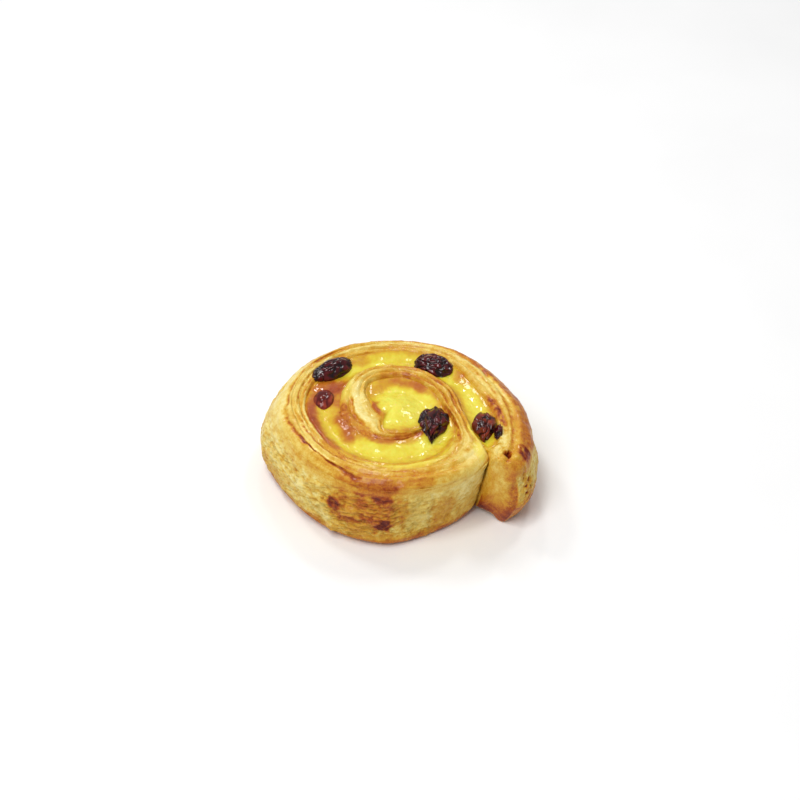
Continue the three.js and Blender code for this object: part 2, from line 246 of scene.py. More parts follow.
# Patches of the outer wall that are baked more or less: hour, height, half the hours, half the height, bake,
# strength
WALL_PATCHES = [
    (18.50, 16.0, 0.68, 12.0, 0.49, 0.88),
    (18.32, 20.0, 0.32, 6.5, 0.56, 0.80),
    (18.21, 24.4, 0.20, 3.1, 1.00, 1.00),
    (18.50, 26.4, 0.26, 1.8, 0.80, 0.80),
    (18.09, 19.0, 0.12, 5.0, 0.60, 0.80),
    (18.17, 11.0, 0.15, 4.3, 1.00, 1.00),
    (18.36, 13.2, 0.22, 1.5, 0.80, 0.70),
    (18.56, 20.6, 0.10, 3.0, 0.74, 0.60),
    (19.00, 16.4, 0.11, 2.8, 0.90, 1.00),
    (18.86, 20.2, 0.18, 2.6, 0.66, 0.60),
    (18.80, 11.8, 0.24, 1.7, 0.78, 0.70),
    (17.88, 16.0, 0.16, 8.0, 0.54, 0.75),
    (17.62, 17.0, 0.22, 11.0, 0.24, 0.75),
    (17.12, 12.0, 0.28, 10.0, 0.50, 0.75),
    (16.62, 24.0, 0.38, 10.0, 0.04, 0.90),
    (16.50, 6.0, 0.40, 6.0, 0.30, 0.70),
    (28.24, 19.0, 0.05, 8.5, 0.36, 0.60),
    (28.12, 17.0, 0.10, 11.0, 0.50, 0.70),
    (28.05, 7.0, 0.35, 7.0, 0.60, 0.70),
    (27.30, 14.0, 0.50, 10.0, 0.50, 0.60),
    (20.60, 8.0, 0.50, 6.0, 0.44, 0.60),
    (22.00, 20.0, 0.50, 7.0, 0.30, 0.60),
]
# Browned places on the custard: hour, radius, half the hours, half the width, bake, strength
CUSTARD_PATCHES = [
    (0.2, 14.5, 1.3, 2.6, 0.62, 0.9),
    (1.3, 14.5, 0.6, 2.4, 0.80, 0.8),
    (10.8, 13.5, 0.8, 2.4, 0.50, 0.7),
    (9.6, 27.0, 0.9, 6.0, 0.80, 0.9),
    (8.5, 31.1, 1.2, 2.9, 0.86, 0.9),
    (8.8, 27.0, 0.6, 3.2, 0.30, 0.9),
    (9.95, 25.6, 0.42, 3.0, 0.86, 0.9),
    (10.1, 31.0, 0.30, 1.6, 0.30, 0.8),
    (8.7, 7.4, 1.4, 1.3, 0.80, 0.9),
    (10.6, 12.0, 1.2, 2.6, 0.48, 0.8),
    (9.9, 31.0, 0.5, 3.0, 0.74, 0.8),
    (7.95, 22.3, 0.75, 3.4, 0.76, 0.95),
    (7.55, 24.6, 0.35, 2.6, 0.74, 0.9),
    (8.0, 27.0, 0.6, 3.5, 0.30, 0.7),
    (11.1, 30.8, 0.4, 2.6, 0.62, 0.6),
    (1.75, 31.0, 0.25, 3.2, 0.62, 0.8),
    (12.6, 28.0, 1.0, 1.6, 0.40, 0.5),
    (3.95, 33.0, 0.25, 3.5, 0.60, 0.7),
    (5.0, 17.0, 0.3, 2.0, 0.90, 0.9),
    (6.6, 19.8, 1.4, 1.8, 0.60, 0.9),
    (5.6, 27.5, 1.4, 2.0, 0.34, 0.5),
]
# Where custard has run over the rim: hour, across, half the hours, half the width across, how thickly from
# 0 to 1
RIM_CUSTARD = [
    (9.95, 1.00, 0.80, 0.36, 0.5),
    (15.92, 0.90, 0.24, 0.18, 0.8),
    (16.22, 0.68, 0.13, 0.18, 0.7),
    (16.36, 0.82, 0.08, 0.13, 0.5),
    (17.85, 0.02, 1.40, 0.30, 0.8),
]
# Small pits in the tail's side, where its layers show: hour, height, half the width and height, depth, slant
TAIL_PITS = [
    (28.13, 26.2, 0.30, 0.6, 0.6, 0.0),
    (28.16, 24.0, 0.60, 0.8, 0.9, 0.0),
    (28.17, 21.6, 0.50, 0.8, 0.9, 0.2),
    (28.06, 19.0, 0.80, 1.3, 1.3, 0.3),
    (28.15, 17.2, 0.70, 1.0, 1.2, 0.3),
    (28.04, 14.6, 0.90, 0.8, 1.2, -0.2),
    (28.17, 13.0, 1.00, 0.7, 1.4, -0.4),
]
# The notch that the tail's pinched rim leaves: hour, across, half the hours, half the width across, depth
TAIL_NOTCH = (28.10, 0.590, 0.085, 0.105, 3.0)
# The fold along the top of the tail's end: hour at its ends, hours that it bows out, half its width in
# hours, depth
TAIL_FOLD = (28.15, 0.10, 0.022, 0.4)
# The fold down the front wall: hour, half its width in hours, depth, rise of the step beside it, and the
# hours over which the step fades
WALL_FOLD = (17.38, 0.022, 0.6, 0.45)
STEP_FADE = (17.42, 17.9)
# Where the wall is more wrinkled: hour, height, half the hours, half the height, strength
WRINKLED_PLACES = [
    (18.6, 15, 0.9, 14, 1.0),
    (17.7, 14, 0.4, 14, 0.5),
    (19.9, 13, 1.2, 15, 0.5),
]
# The blister on the rim: hour, across, half the hours, half the width across, rise, depth of its ripples
RIM_BLISTER = (8.15, 0.98, 0.75, 0.26, 1.4, 0.7)


def smooth(value, low, high):
    """0 up to low and 1 from high, eased in between."""
    share = np.clip((value - low) / (high - low), 0, 1)
    return share * share * (3 - 2 * share)


def blend(low, high, share):
    return low + (high - low) * share


def spot(x, y, centre_x, centre_y, half_x, half_y, soft=0.45):
    """1 inside an oval, easing to 0 at its rim."""
    away = np.hypot((x - centre_x) / half_x, (y - centre_y) / half_y)
    return 1 - smooth(away, 1 - soft, 1 + soft / 2)


def clouds(points, size, seed, octaves=3):
    """Noise from about -1 to 1 at the points, in clouds of that size."""
    shift = Vector((17.3 * seed, 5.1 * seed, 9.7 * seed))
    return np.array([noise.fractal(Vector(p) / size + shift, 0.8, 2.0, octaves) for p in points])


def table_slopes(table):
    """The slope at each row that keeps the curve through the rows from overshooting."""
    run = np.diff(table[:, 1:], axis=0) / np.diff(table[:, :1], axis=0)
    before, after = run[:-1], run[1:]
    total = np.where(before + after == 0, 1, before + after)
    inside = np.where(before * after > 0, 2 * before * after / total, 0)
    ends = np.zeros((1, table.shape[1] - 1))
    return np.vstack([ends, inside, ends])


STRIP_SLOPES = table_slopes(STRIP)


def strip_at(hour):
    """The strip's radius, thickness, rim height and lean at the hours."""
    hour = np.clip(hour, STRIP[0, 0], STRIP[-1, 0])
    row = np.clip(np.searchsorted(STRIP[:, 0], hour, side="right") - 1, 0, len(STRIP) - 2)
    span = (STRIP[row + 1, 0] - STRIP[row, 0])[..., None]
    u = (hour - STRIP[row, 0])[..., None] / span
    start, rise = STRIP[row, 1:], STRIP[row + 1, 1:] - STRIP[row, 1:]
    leave, arrive = STRIP_SLOPES[row] * span, STRIP_SLOPES[row + 1] * span
    size = start + u * (leave + u * (3 * rise - 2 * leave - arrive + u * (leave + arrive - 2 * rise)))
    return np.moveaxis(size, -1, 0)


def place(hour, radius, z):
    """The point at an hour, a radius and a height, in millimetres."""
    angle = math.pi / 2 - hour * 2 * math.pi / TURN
    x = ROLL_CENTRE[0] + radius * np.cos(angle)
    y = ROLL_CENTRE[1] + radius * np.sin(angle)
    return np.stack(np.broadcast_arrays(x, y, z), axis=-1)


def belly_at(share):
    """The part of its lean that the outer face stands out by at a share of the height: all at the belly."""
    above = 1 - np.clip((share - BELLY) / (1 - BELLY), 0, 1) ** 2
    below = 1 - 0.4 * np.clip((BELLY - share) / BELLY, 0, 1) ** 2
    return np.where(share > BELLY, above, below)


def outer_face(hour, z):
    """Radius of the outer face. A face with a lean below 0 slants in evenly to its foot."""
    radius, thickness, top, lean = strip_at(hour)
    share = z / top
    return radius + thickness / 2 + lean * np.where(lean > 0, belly_at(share), np.maximum(1 - share, 0))


def inner_face(hour, z):
    """Near the tail the inner face comes down on the outer face of the turn inside it."""
    radius, thickness, _, _ = strip_at(hour)
    own = radius - thickness / 2
    return blend(own, outer_face(hour - TURN, z) + TAIL_SEAM, smooth(hour, *TAIL_CLOSE))


def layer_relief(side, hour):
    """Height of the layers across the rim: the main ones, and the thin leaves with sharp edges on them."""
    drift = 0.35 * np.sin(hour * 1.9) + 0.2 * np.sin(hour * 4.3 + 1)
    turn = LAYERS * (side + 1) / 2 + drift / math.pi
    main = np.abs(np.sin(math.pi * turn))
    sway = 0.35 * np.sin(1.3 * hour + 0.6) + 0.15 * np.sin(5.1 * hour)
    leaf = np.mod(turn * 2 + sway, 1)
    ebb = np.clip(0.3 + 0.7 * np.sin(1.7 * hour + 2 * side), 0, 1)
    flat = 1 - 0.75 * smooth(hour, 6.7, 7.2) * (1 - smooth(hour, 9.3, 10.2)) * (1 - smooth(side, -0.1, 0.2))
    main_height = LAYER_DEPTH * flat * (main - 0.7)
    leaf_height = LEAF_DEPTH * flat * ebb * (leaf ** 0.7 * smooth(1 - leaf, 0, 0.16) - 0.5)
    return main_height, leaf_height


def section_at(v, hour):
    """Side, -1 inside to 1 outside, height, place on the rim and place across of the section's point v.

    From 0 to 1 v runs up the inner face, over the rim, down the outer face and back along the base. The
    place on the rim is -1 on the inner face, 0 to 1 across the rim, 2 on the outer face and 3 on the base.
    The place across goes on past 0 and 1 down both faces, a tenth for each millimetre.
    """
    _, thickness, top, _ = strip_at(hour)
    outside = smooth(hour, 15.7, 16.4)
    stops = [blend(a, b, outside) for a, b in
             ((0.04, 0.03), (0.18, 0.10), (0.78, 0.46), (0.91, 0.54), (0.95, 0.91))]
    shoulder = top - RIM_ROUND
    level = CUSTARD_LEVEL - 1.5

    def share(k):
        low = stops[k - 1] if k else 0
        high = stops[k] if k < len(stops) else 1
        return np.clip((v - low) / (high - low), 0, 1)

    part = np.sum([v > stop for stop in stops], axis=0)
    turn = math.pi * share(2)
    across = np.cos(turn)
    round_side = -np.sign(across) * np.abs(across) ** (2 / RIM_SQUARE)
    rise = np.sin(turn) ** (2 / RIM_SQUARE)
    main, leaf = layer_relief(round_side, hour)
    rim_top = shoulder + rise * (RIM_ROUND + main + leaf)
    foot = 1 - 0.7 * FOOT_ROUND / (thickness / 2)
    on_corner = share(5) < CORNER_SHARE
    corner = np.clip(share(5) / CORNER_SHARE, 0, 1) * math.pi / 2
    corner_side = blend(1, foot, 1 - np.cos(corner))
    flat_side = blend(foot, -1, (share(5) - CORNER_SHARE) / (1 - CORNER_SHARE))
    base_side = np.where(on_corner, corner_side, flat_side)
    base_z = np.where(on_corner, FOOT_ROUND * (1 - np.sin(corner)), 0)
    flat = 0 * v
    side = np.choose(part, [flat - 1, flat - 1, round_side, flat + 1, flat + 1, base_side])
    z = np.choose(part, [
        blend(0, level, share(0)),
        blend(level, shoulder, share(1)),
        rim_top,
        blend(shoulder, level, share(3)),
        blend(level, FOOT_ROUND, share(4)),
        base_z,
    ])
    over = (round_side + 1) / 2
    rim = np.choose(part, [flat - 1, flat - 1, over, flat + 2, flat + 2, flat + 3])
    down = (shoulder - z) / 10
    across = np.choose(part, [-down, -down, over, 1 + down, 1 + down, 1 + down])
    return side, z, rim, across


def even_hours(count):
    """Hours that lie an even run of the rim apart, and closer near the tail's end."""
    fine = np.linspace(INNER_END, TAIL_END, 4000)
    radius, thickness, _, _ = strip_at(fine)
    rim = place(fine, radius + thickness / 2, 0)
    weight = 1 + TAIL_FINE * smooth(fine[1:], 27.4, 27.9)
    run = np.concatenate([[0], np.cumsum(np.linalg.norm(np.diff(rim, axis=0), axis=1) * weight)])
    return np.interp(np.linspace(0, run[-1], count), run, fine)


def lift_at(left, side):
    """How far the tail's underside rises, by the hours left to the end and the side."""
    away = np.maximum(np.abs(side - TIP_SIDE) - TIP_HALF, 0)
    inside = TAIL_LIFT["inside"] * (1 - smooth(left, *LIFT_RUN["inside"])) * smooth(away, 0, LIFT_REACH)
    outside = TAIL_LIFT["outside"] * (1 - smooth(left, *LIFT_RUN["outside"])) * away ** LIFT_CURVE
    return np.where(side < TIP_SIDE, inside, outside)


def strip_point(station, side, z):
    """The strip's point at a station's hour, with the tail's slanted blunt end and its lifted underside."""
    left = TAIL_END - station
    top = strip_at(station)[2]
    hour = station - TAIL_SLANT * (1 - smooth(left, 0, 0.8)) * side
    blunt = 1 - TAIL_TAPER * (1 - np.clip(left / 0.2, 0, 1)) ** 2
    radius = blend(inner_face(hour, z), outer_face(hour, z), (side * blunt + 1) / 2)
    return place(hour, radius, z + lift_at(left, side) * np.clip(1 - z / top, 0, 1) ** 2)


def new_piece(name, bm, material, slot, *nodes):
    """Makes the bmesh an object that rides on the body and stands for those nodes."""
    mesh = bpy.data.meshes.new(name)
    bm.to_mesh(mesh)
    bm.free()
    mesh.materials.append(material)
    mesh.shade_smooth()
    piece = bpy.data.objects.new(name, mesh)
    bpy.context.scene.collection.objects.link(piece)
    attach(piece, "root")
    if nodes:
        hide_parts(*nodes)
    return piece


def grid_bmesh(rows, columns):
    """A flat grid of rows by columns cells, and each vertex's row and column."""
    bm = bmesh.new()
    bmesh.ops.create_grid(bm, x_segments=rows, y_segments=columns, size=1)
    at = np.array([v.co[:2] for v in bm.verts])
    row = np.rint((at[:, 0] + 1) / 2 * rows).astype(int)
    column = np.rint((at[:, 1] + 1) / 2 * columns).astype(int)
    return bm, row, column


def close_grid(bm):
    """Welds the grid's seam and poles, and turns its faces outwards."""
    bmesh.ops.remove_doubles(bm, verts=bm.verts, dist=1e-7)
    bmesh.ops.recalc_face_normals(bm, faces=bm.faces)
    if bm.calc_volume(signed=True) < 0:
        bmesh.ops.reverse_faces(bm, faces=bm.faces)


def write_attribute(bm, name, values):
    """Writes one number for each vertex, for the material to read."""
    layer = bm.verts.layers.float.new(name)
    for vert, value in zip(bm.verts, values):
        vert[layer] = value


def streak_marks(hour, across, wobble):
    """Bake, strength and depth of the lines and bands along the rim."""
    bake, strength, depth = 0 * hour, 0 * hour, 0 * hour
    for start, end, first, last, half, tone, deep in RIM_STREAKS:
        share = (hour - start) / (end - start)
        line = blend(first, last, np.clip(share, 0, 1)) + 0.05 * wobble
        fade = smooth(share, 0, 0.22) * (1 - smooth(share, 0.78, 1))
        width = half * (0.75 + 0.5 * fade)
        mark = fade * np.exp(-np.abs((across - line) / width) ** 2.5)
        bake = blend(bake, tone, mark)
        strength = np.maximum(strength, mark)
        depth = np.maximum(depth, mark * deep)
    return bake / np.maximum(strength, 1e-6), strength, depth


def tail_marks(hour, z, rim, across):
    """Depth of the pits in the tail's side, and of the notch and the fold in its rim, in millimetres."""
    depth = 0 * hour
    for pit_hour, pit_z, half_width, half_height, deep, slant in TAIL_PITS:
        around = (hour - pit_hour) * 2 * math.pi / TURN * TAIL_RADIUS + slant * (z - pit_z)
        ragged = 0.15 * np.sin(3.2 * z + 50 * pit_hour)
        pit = ((around + ragged) / half_width) ** 2 + ((z - pit_z) / half_height) ** 2
        depth = np.maximum(depth, deep * np.exp(-pit))
    depth = np.where(rim == 2, depth, 0)
    on_rim = (rim >= 0) & (rim <= 1)
    notch_hour, notch_across, half_hours, half_across, deep = TAIL_NOTCH
    narrow = half_across * (0.70 + 0.60 * np.clip((hour - notch_hour) / half_hours, -1, 1))
    notch = spot(hour, across, notch_hour, notch_across, half_hours, np.maximum(narrow, 0.01), 0.4)
    fold_hour, bow, half_width, fold_deep = TAIL_FOLD
    away = (hour - fold_hour - bow * np.sin(math.pi * np.clip(across, 0, 1))) / half_width
    fold = np.exp(-away ** 2) * smooth(across, 0.02, 0.12) * (1 - smooth(across, 0.85, 0.97))
    return np.maximum(depth, np.maximum(deep * notch, fold_deep * fold) * on_rim)


def wall_wrinkles(flow):
    """0 along the creases that run round the wall, rising away from them."""
    return np.abs(clouds(np.stack([flow[:, 0] / 2.6, flow[:, 1], 0 * flow[:, 0]], -1), 1.7, 7))


def dough_bake_and_shade(hour, z, rim, across, relief, points, flow):
    """How far each point of the dough is baked, from 0 to 1, and the painted shade in its hollows."""
    soft = clouds(points, 6, 3)
    fine = clouds(points, 1.7, 4)
    grain = clouds(np.stack([flow[:, 0] / 18, flow[:, 1] / 1.7, 0 * z], -1), 1, 9)
    columns = [np.interp(hour, RIM_BAKE[:, 0], RIM_BAKE[:, k]) for k in (1, 2, 3)]
    over = np.clip(across, 0, 1)
    tone = np.where(over < 0.5, blend(columns[0], columns[1], smooth(over, 0, 0.5)),
                    blend(columns[1], columns[2], smooth(over, 0.5, 1)))
    # Painted shade: the rim is darker where its relief and layers sink into grooves
    tone = tone + 0.09 * grain + 0.12 * soft + 0.20 * smooth(-relief, 0.15, 0.75)
    wall = WALL_BAKE + 0.16 * soft + 0.18 * fine + 0.06 * grain
    # Painted shade: the wall is darker along its creases
    wall = wall + 0.20 * smooth(0.10 - wall_wrinkles(flow), 0, 0.10)
    # The wall is darker towards its foot
    wall = blend(wall, FOOT_TONE, (1 - smooth(z, 1, 9)) * 0.75)
    ragged_hour = hour + 0.10 * clouds(points, 3.4, 5)
    ragged_z = z + 2.6 * clouds(points, 3.0, 6)
    for patch_hour, patch_z, half_hours, half_height, bake, strength in WALL_PATCHES:
        share = spot(ragged_hour, ragged_z, patch_hour, patch_z, half_hours, half_height)
        wall = blend(wall, bake + 0.20 * fine * (bake > 0.5), share * strength)
    on_wall = smooth(across, 1.05, 1.45) * smooth(hour, 15.7, 16.3)
    tone = blend(tone, wall, on_wall)
    bake, strength, _ = streak_marks(hour, across, clouds(points, 5, 8))
    tone = blend(tone, bake, np.clip(strength * (0.80 + 0.8 * fine), 0, 1))
    # Painted shade in the tail's pits, its notch and the fold on its rim
    tone = blend(tone, PIT_SHADE, smooth(tail_marks(hour, z, rim, across), 0.3, 1.0))
    tone = np.where(rim == 3, BASE_BAKE + 0.14 * soft, tone)
    return np.clip(tone, 0, 1)


def end_face_tone(side, z, speckle):
    """How dark the tail's end face is: darker at its foot and outer side, and painted shade low inside."""
    low = 1 - smooth(z, 4, 15)
    bake = 0.34 + 0.38 * low + 0.22 * smooth(side, 0.1, 0.85) + speckle
    # Painted shade in the end face's low inner corner, by the crease
    return bake + 0.3 * (1 - smooth(z, 3, 9)) * (1 - smooth(side, -0.7, -0.1))


def custard_over(hour, across, points):
    """How much custard covers the rim, from 0 to 1."""
    ragged = clouds(points, 2.5, 21)
    ragged_hour = hour + 0.03 * ragged
    ragged_across = across + 0.05 * ragged
    share = 0 * hour
    for spill_hour, spill_across, half_hours, half_across, thick in RIM_CUSTARD:
        spill = spot(ragged_hour, ragged_across, spill_hour, spill_across, half_hours, half_across)
        share = np.maximum(share, thick * spill)
    return share


def wall_fold(hour, z):
    """Height of the fold down the front wall and of the step beside it."""
    fold_hour, half_width, deep, rise = WALL_FOLD
    line = fold_hour + 0.025 * np.sin(z / 4) + 0.015 * np.sin(z / 1.7)
    fold = np.exp(-np.abs((hour - line) / half_width) ** 2) * spot(hour, z, fold_hour, 13, 0.3, 13)
    step = smooth(hour, line - 0.01, line + 0.02) * (1 - smooth(hour, *STEP_FADE))
    return rise * step * spot(hour, z, fold_hour, 12, 1, 14) - deep * fold


def dough_relief(hour, z, rim, across, points, flow):
    """How far the dough's surface stands out from the plain strip, in millimetres."""
    lumps = clouds(points, 11, 1)
    small = clouds(points, 3.2, 2)
    wrinkles = wall_wrinkles(flow)
    on_wall = smooth(across, 1.0, 1.6) * smooth(hour, 16.2, 16.6)
    wrinkled = 0 * hour
    for wrinkled_hour, wrinkled_z, half_hours, half_height, strength in WRINKLED_PLACES:
        near = spot(hour, z, wrinkled_hour, wrinkled_z, half_hours, half_height)
        wrinkled = np.maximum(wrinkled, strength * near)
    wall = -0.35 + 0.72 * lumps + 0.34 * small - (0.35 + 0.55 * wrinkled) * smooth(0.28 - wrinkles, 0, 0.28)
    wall = wall + 0.9 * clouds(points, 8, 18, 2) * (1 - smooth(z, 5, 17))
    blister_hour, blister_across, half_hours, half_across, rise, ripple = RIM_BLISTER
    blister = spot(hour, across, blister_hour, blister_across, half_hours, half_across, 0.8)
    blister = blister * (rise + ripple * clouds(points, 2.4, 17))
    _, _, depth = streak_marks(hour, across, clouds(points, 5, 8))
    depth = depth + tail_marks(hour, z, rim, across)
    rim_relief = 0.22 * small + 0.40 * lumps
    relief = blend(rim_relief, wall, on_wall)
    relief = np.where(rim == 3, 0, relief)
    return relief + blister - depth + wall_fold(hour, z) * on_wall


def grid_normals(points):
    """Unit normals of a grid of points that closes on itself along its second axis."""
    along = np.gradient(points, axis=0)
    around = (np.roll(points, -1, axis=1) - np.roll(points, 1, axis=1)) / 2
    normal = np.cross(along, around)
    return normal / np.maximum(np.linalg.norm(normal, axis=-1, keepdims=True), 1e-9)


def strip_grid(along, around):
    """The strip's rings and caps: station, side, height, places on the rim and across, size and point."""
    hours = even_hours(along - START_RINGS - END_RINGS + 1)
    stations = np.concatenate([np.full(START_RINGS, hours[0]), hours, np.full(END_RINGS, hours[-1])])
    shrink = np.concatenate([
        np.linspace(0, 1, START_RINGS + 1)[:-1],
        np.ones(len(hours)),
        1 - np.linspace(0, 1, END_RINGS + 1)[1:] ** 1.3,
    ])
    v = np.arange(around) / around
    v, station = np.meshgrid(v, stations)
    size = np.broadcast_to(shrink[:, None], v.shape)
    side, z, rim, across = section_at(v, station)
    middle = strip_at(station)[2] * 0.5
    cap_z = blend(middle, z, size)
    bulge = END_BULGE * np.sqrt(np.clip(1 - size ** 4, 0, 1)) * (station == stations[-1])
    at = strip_point(station, side * size, cap_z)
    beyond = at - strip_point(station - 0.02, side * size, cap_z)
    beyond /= np.linalg.norm(beyond, axis=-1, keepdims=True)
    return station, side * size, cap_z, rim, across, size, at + beyond * bulge[..., None]


def flow_of(at):
    """Millimetres along the strip and round its section, for each point of its grid."""
    rows, columns = at.shape[:2]
    run = np.concatenate([[0], np.cumsum(np.linalg.norm(np.diff(at[:, columns // 2], axis=0), axis=1))])
    round_it = np.cumsum(np.linalg.norm(np.diff(at, axis=1, prepend=at[:, :1]), axis=-1), axis=1)
    return np.stack([np.broadcast_to(run[:, None], (rows, columns)), round_it, 0 * round_it], -1)


def make_dough(material):
    station, side, z, rim, across, size, at = strip_grid(ALONG, AROUND)
    rows, columns = station.shape
    normal = grid_normals(at)
    outwards = place(station, 1, 0) - place(station, 0, 0)
    if np.mean(np.sum(normal * outwards, axis=-1)[rim == 2]) < 0:
        normal = -normal
    flow = flow_of(at)
    points = at.reshape(-1, 3)
    hour, z, rim, across = (values.reshape(-1) for values in (station, z, rim, across))
    relief = dough_relief(hour, z, rim, across, points, flow.reshape(-1, 3))
    main, leaf = layer_relief(side.reshape(-1), hour)
    # Heights that the painted shade follows: the relief, and on the rim its layers too
    grooves = np.where((rim >= 0) & (rim <= 1), relief + main * 0.6 + leaf, relief)
    bake = dough_bake_and_shade(hour, z, rim, across, grooves, points, flow.reshape(-1, 3)).reshape(rows, columns)
    at = at + normal * (relief.reshape(rows, columns) * smooth(size, 0.2, 0.8))[..., None]
    at[..., 2] = np.maximum(at[..., 2], 0)
    speckle = (0.12 * clouds(points, 4, 6) + 0.08 * clouds(points, 1.2, 16)).reshape(rows, columns)
    bake = blend(end_face_tone(side, at[..., 2], speckle), bake, smooth(size, 0.90, 1.0))
    glaze = 1 - smooth(across, 0.6, 1.1).reshape(rows, columns)
    spill = custard_over(hour, across, points).reshape(rows, columns)

    bm, row, column = grid_bmesh(rows - 1, columns)
    column = column % columns
    for vert, point in zip(bm.verts, at[row, column] * MM):
        vert.co = point
    # The bake carries the painted shade in the hollows and in the end face's corner as well
    write_attribute(bm, "bake", bake[row, column])
    write_attribute(bm, "glaze", glaze[row, column])
    write_attribute(bm, "spill", spill[row, column])
    flow_layer = bm.verts.layers.float_vector.new("flow")
    for vert, place_on_strip in zip(bm.verts, flow[row, column]):
        vert[flow_layer] = place_on_strip
    close_grid(bm)
    return new_piece("dough_strip", bm, material, "dough", "dough")


def strip_distance(points):
    """The points' distance from the strip's faces seen from above, depth in it, hour and radius."""
    away = points[:, :2] - ROLL_CENTRE
    radius = np.hypot(away[:, 0], away[:, 1])
    hour = ((math.pi / 2 - np.arctan2(away[:, 1], away[:, 0])) * TURN / (2 * math.pi)) % TURN
    distance = np.full(len(points), 99.0)
    depth = -distance
    for turns in range(3):
        at = hour + TURN * turns
        on_strip = np.clip(at, INNER_END, TAIL_END)
        beyond = np.abs(at - on_strip) * 2 * math.pi / TURN * radius
        inside = inner_face(on_strip, CUSTARD_LEVEL) - radius
        outside = radius - outer_face(on_strip, CUSTARD_LEVEL)
        across = np.where(beyond > 0, np.maximum(np.maximum(inside, outside), 0),
                          np.minimum(np.abs(inside), np.abs(outside)))
        distance = np.minimum(distance, np.hypot(beyond, across))
        depth = np.where(beyond > 0, depth, np.maximum(depth, -np.maximum(inside, outside)))
    return distance, depth, hour, radius


def custard_height(points):
    """The custard's height: a low dome in the middle, soft waves, a lip at the dough and a dive inside it."""
    distance, depth, hour, radius = strip_distance(points)
    share = np.clip(radius / DOME_RADIUS, 0, 1)
    dome = CUSTARD_DOME * (1 - share ** 2) ** 2
    waves = sum(height * clouds(points, size, seed, octaves) for height, size, seed, octaves in CUSTARD_WAVES)
    lip = LIP_HEIGHT * np.exp(-distance / LIP_WIDTH)
    for flush_hour, flush_radius, half_hours, half_width, rise in CUSTARD_FLUSH:
        near = (hour - flush_hour + TURN / 2) % TURN - TURN / 2
        lip = lip + rise * spot(near, radius, 0, flush_radius, half_hours, half_width, 0.9)
    bump_hour, bump_radius, half_hours, half_width, rise, ripple = CUSTARD_BUMP
    bump = spot(hour, radius, bump_hour, bump_radius, half_hours, half_width, 0.9)
    lip = lip + bump * (rise + ripple * clouds(points, 2.2, 22, 2))
    return CUSTARD_LEVEL + dome + waves + lip - WAVES_DROP - DIVE_DEPTH * smooth(depth, *DIVE)


def custard_blank():
    """The custard before the strip is cut out of it, a round body that ends inside the outer turn."""
    bm, row, column = grid_bmesh(CUSTARD_RINGS + SIDE_RINGS + BASE_RINGS, CUSTARD_SECTORS)
    beyond_side = row - CUSTARD_RINGS - SIDE_RINGS
    share = np.clip(row / CUSTARD_RINGS, 0, 1)
    share = np.where(beyond_side > 0, 1 - beyond_side / BASE_RINGS, share)
    fall = np.clip((row - CUSTARD_RINGS) / SIDE_RINGS, 0, 1)
    hour = CHANNEL_END + TURN * (column % CUSTARD_SECTORS) / CUSTARD_SECTORS
    left = CHANNEL_END + TURN - hour
    runout = 1 - smooth(left, CHANNEL_RUNOUT[1], CHANNEL_RUNOUT[0])
    radius = inner_face(hour, CUSTARD_LEVEL) + CHANNEL_REACH
    inside = strip_at(CHANNEL_END - left)[0]
    radius = blend(radius, inside, runout * fall)
    radius = np.where(column % CUSTARD_SECTORS == 0, strip_at(np.array([CHANNEL_END]))[0][0], radius)
    beyond = (share - EVEN_SHARE) / (1 - EVEN_SHARE)
    even = np.where(share < EVEN_SHARE, share / EVEN_SHARE * EVEN_RADIUS, blend(EVEN_RADIUS, radius, beyond))
    points = place(hour, np.where(fall > 0, share * radius, even), 0)
    top = custard_height(points)
    points[:, 2] = blend(top, CUSTARD_BASE, fall)
    for vert, point in zip(bm.verts, points * MM):
        vert.co = point
    close_grid(bm)
    return bm


def strip_cutter():
    """A plain tall copy of the strip, a few millimetres thinner, which cuts its room out of the custard."""
    ring = [(-1, z) for z in CUTTER_HEIGHTS] + [(1, z) for z in CUTTER_HEIGHTS[::-1]]
    hours = even_hours(CUTTER_RINGS)
    rows, columns = len(hours) + 1, len(ring)
    bm, row, column = grid_bmesh(rows, columns)
    corner = np.array(ring)[column % columns]
    station = hours[np.clip(row - 1, 0, len(hours) - 1)]
    cap = (row == 0) | (row == rows)
    side = np.where(cap, 0, corner[:, 0])
    z = np.where(cap, CUTTER_MIDDLE, corner[:, 1])
    hour = station - TAIL_SLANT * (1 - smooth(TAIL_END - station, 0, 0.8)) * side
    bite = np.minimum(CUSTARD_BITE, BITE_SHARE * strip_at(station)[1])
    radius = blend(inner_face(hour, z) + bite, outer_face(hour, z) - bite, (side + 1) / 2)
    for vert, point in zip(bm.verts, place(hour, radius, z) * MM):
        vert.co = point
    close_grid(bm)
    return bm


def plain_object(name, bm):
    mesh = bpy.data.meshes.new(name)
    bm.to_mesh(mesh)
    bm.free()
    thing = bpy.data.objects.new(name, mesh)
    bpy.context.scene.collection.objects.link(thing)
    return thing


def cut(bm, cutter_bm):
    """The first bmesh with the second cut out of it."""
    body = plain_object("cut_body", bm)
    cutter = plain_object("cut_tool", cutter_bm)
    boolean = body.modifiers.new("cut", "BOOLEAN")
    boolean.operation = "DIFFERENCE"
    boolean.solver = "MANIFOLD"
    boolean.object = cutter
    depsgraph = bpy.context.evaluated_depsgraph_get()
    result = bmesh.new()
    result.from_object(body, depsgraph)
    for thing in (body, cutter):
        mesh = thing.data
        bpy.data.objects.remove(thing)
        bpy.data.meshes.remove(mesh)
    return result


